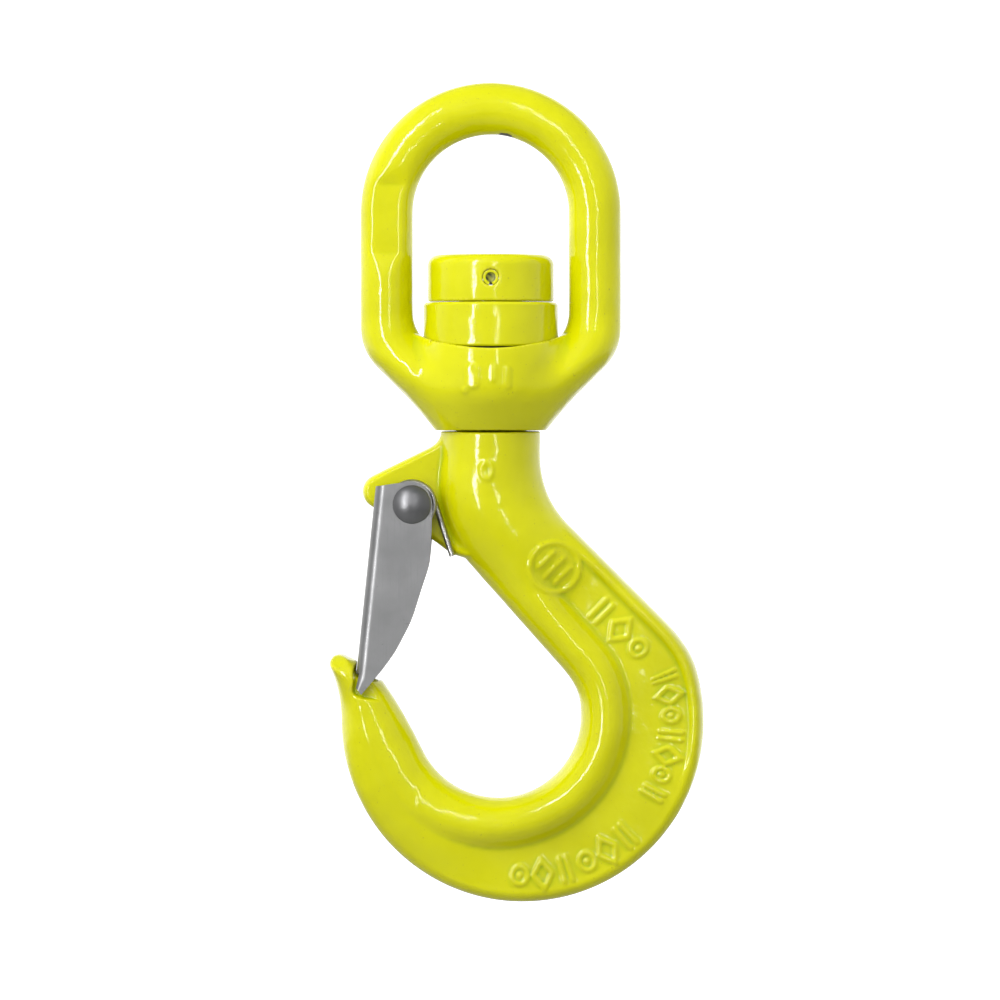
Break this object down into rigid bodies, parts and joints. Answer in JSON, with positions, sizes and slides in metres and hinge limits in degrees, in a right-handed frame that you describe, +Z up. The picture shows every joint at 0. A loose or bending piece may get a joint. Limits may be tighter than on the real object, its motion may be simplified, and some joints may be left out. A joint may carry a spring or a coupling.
{
  "type": "swivel hook",
  "caption": "Painted forged sling hook with a sprung latch, turning on a ball thrust bearing in a forged bail.",
  "frame": {"origin": "inner crown of the bail, on the swivel axis", "axes": "+Z up the swivel axis, +X from the hook's tip towards its back, +Y through the thickness of the forging, away from the viewer"},
  "size_m": [0.1154, 0.0468, 0.252],
  "materials": {
    "chartreuse_paint": "gloss",
    "latch_sheet_steel": "satin",
    "rivet_steel": "satin",
    "spring_steel": "satin",
    "bearing_steel": "polished",
    "cage_brass": "satin",
    "seal_rubber": "matte"
  },
  "bodies": {
    "bail": {"bail": "chartreuse_paint", "lower_race": "bearing_steel"},
    "hook": {"hook_body": "chartreuse_paint", "swivel_nut": "chartreuse_paint", "nut_lock_pin": "chartreuse_paint", "bearing_cover": "chartreuse_paint", "upper_race": "bearing_steel", "dust_seal": "seal_rubber", "latch_spring": "spring_steel"},
    "cage": {"ball_cage": "cage_brass"},
    "latch": {"latch": "latch_sheet_steel", "latch_pin": "rivet_steel"},
    "ball_01": {"ball_01": "bearing_steel"},
    "ball_02": {"ball_02": "bearing_steel"},
    "ball_03": {"ball_03": "bearing_steel"},
    "ball_04": {"ball_04": "bearing_steel"},
    "ball_05": {"ball_05": "bearing_steel"},
    "ball_06": {"ball_06": "bearing_steel"},
    "ball_07": {"ball_07": "bearing_steel"},
    "ball_08": {"ball_08": "bearing_steel"},
    "ball_09": {"ball_09": "bearing_steel"},
    "ball_10": {"ball_10": "bearing_steel"},
    "ball_11": {"ball_11": "bearing_steel"},
    "ball_12": {"ball_12": "bearing_steel"}
  },
  "joints": [
    {"name": "hook_swivel", "type": "hinge", "parent": "bail", "child": "hook", "pos_m": [0, 0, -0.0661], "axis": [0, 0, 1], "continuous": true},
    {"name": "cage_turn", "type": "hinge", "parent": "bail", "child": "cage", "pos_m": [0, 0, -0.05982], "axis": [0, 0, 1], "continuous": true},
    {"name": "latch_pivot", "type": "hinge", "parent": "hook", "child": "latch", "pos_m": [-0.0241, 0, -0.1134], "axis": [0, -1, 0], "range_deg": [0, 41], "stiffness_Nm_per_rad": 0.27, "springref_deg": -31.51, "deforming": ["latch_spring"]},
    {"name": "ball_01_roll", "type": "hinge", "parent": "cage", "child": "ball_01", "pos_m": [0.01458, 0, -0.05982], "axis": [1, 0, 0], "continuous": true},
    {"name": "ball_02_roll", "type": "hinge", "parent": "cage", "child": "ball_02", "pos_m": [0.01263, 0.00729, -0.05982], "axis": [0.866, 0.5, 0], "continuous": true},
    {"name": "ball_03_roll", "type": "hinge", "parent": "cage", "child": "ball_03", "pos_m": [0.00729, 0.01263, -0.05982], "axis": [0.5, 0.866, 0], "continuous": true},
    {"name": "ball_04_roll", "type": "hinge", "parent": "cage", "child": "ball_04", "pos_m": [0, 0.01458, -0.05982], "axis": [0, 1, 0], "continuous": true},
    {"name": "ball_05_roll", "type": "hinge", "parent": "cage", "child": "ball_05", "pos_m": [-0.00729, 0.01263, -0.05982], "axis": [-0.5, 0.866, 0], "continuous": true},
    {"name": "ball_06_roll", "type": "hinge", "parent": "cage", "child": "ball_06", "pos_m": [-0.01263, 0.00729, -0.05982], "axis": [-0.866, 0.5, 0], "continuous": true},
    {"name": "ball_07_roll", "type": "hinge", "parent": "cage", "child": "ball_07", "pos_m": [-0.01458, 0, -0.05982], "axis": [-1, 0, 0], "continuous": true},
    {"name": "ball_08_roll", "type": "hinge", "parent": "cage", "child": "ball_08", "pos_m": [-0.01263, -0.00729, -0.05982], "axis": [-0.866, -0.5, 0], "continuous": true},
    {"name": "ball_09_roll", "type": "hinge", "parent": "cage", "child": "ball_09", "pos_m": [-0.00729, -0.01263, -0.05982], "axis": [-0.5, -0.866, 0], "continuous": true},
    {"name": "ball_10_roll", "type": "hinge", "parent": "cage", "child": "ball_10", "pos_m": [0, -0.01458, -0.05982], "axis": [0, -1, 0], "continuous": true},
    {"name": "ball_11_roll", "type": "hinge", "parent": "cage", "child": "ball_11", "pos_m": [0.00729, -0.01263, -0.05982], "axis": [0.5, -0.866, 0], "continuous": true},
    {"name": "ball_12_roll", "type": "hinge", "parent": "cage", "child": "ball_12", "pos_m": [0.01263, -0.00729, -0.05982], "axis": [0.866, -0.5, 0], "continuous": true}
  ],
  "couplings": [
    {"joint": "cage_turn", "follows": "hook_swivel", "ratio": 0.5},
    {"joint": "ball_01_roll", "follows": "hook_swivel", "ratio": -2.624},
    {"joint": "ball_02_roll", "follows": "hook_swivel", "ratio": -2.624},
    {"joint": "ball_03_roll", "follows": "hook_swivel", "ratio": -2.624},
    {"joint": "ball_04_roll", "follows": "hook_swivel", "ratio": -2.624},
    {"joint": "ball_05_roll", "follows": "hook_swivel", "ratio": -2.624},
    {"joint": "ball_06_roll", "follows": "hook_swivel", "ratio": -2.624},
    {"joint": "ball_07_roll", "follows": "hook_swivel", "ratio": -2.624},
    {"joint": "ball_08_roll", "follows": "hook_swivel", "ratio": -2.624},
    {"joint": "ball_09_roll", "follows": "hook_swivel", "ratio": -2.624},
    {"joint": "ball_10_roll", "follows": "hook_swivel", "ratio": -2.624},
    {"joint": "ball_11_roll", "follows": "hook_swivel", "ratio": -2.624},
    {"joint": "ball_12_roll", "follows": "hook_swivel", "ratio": -2.624}
  ]
}
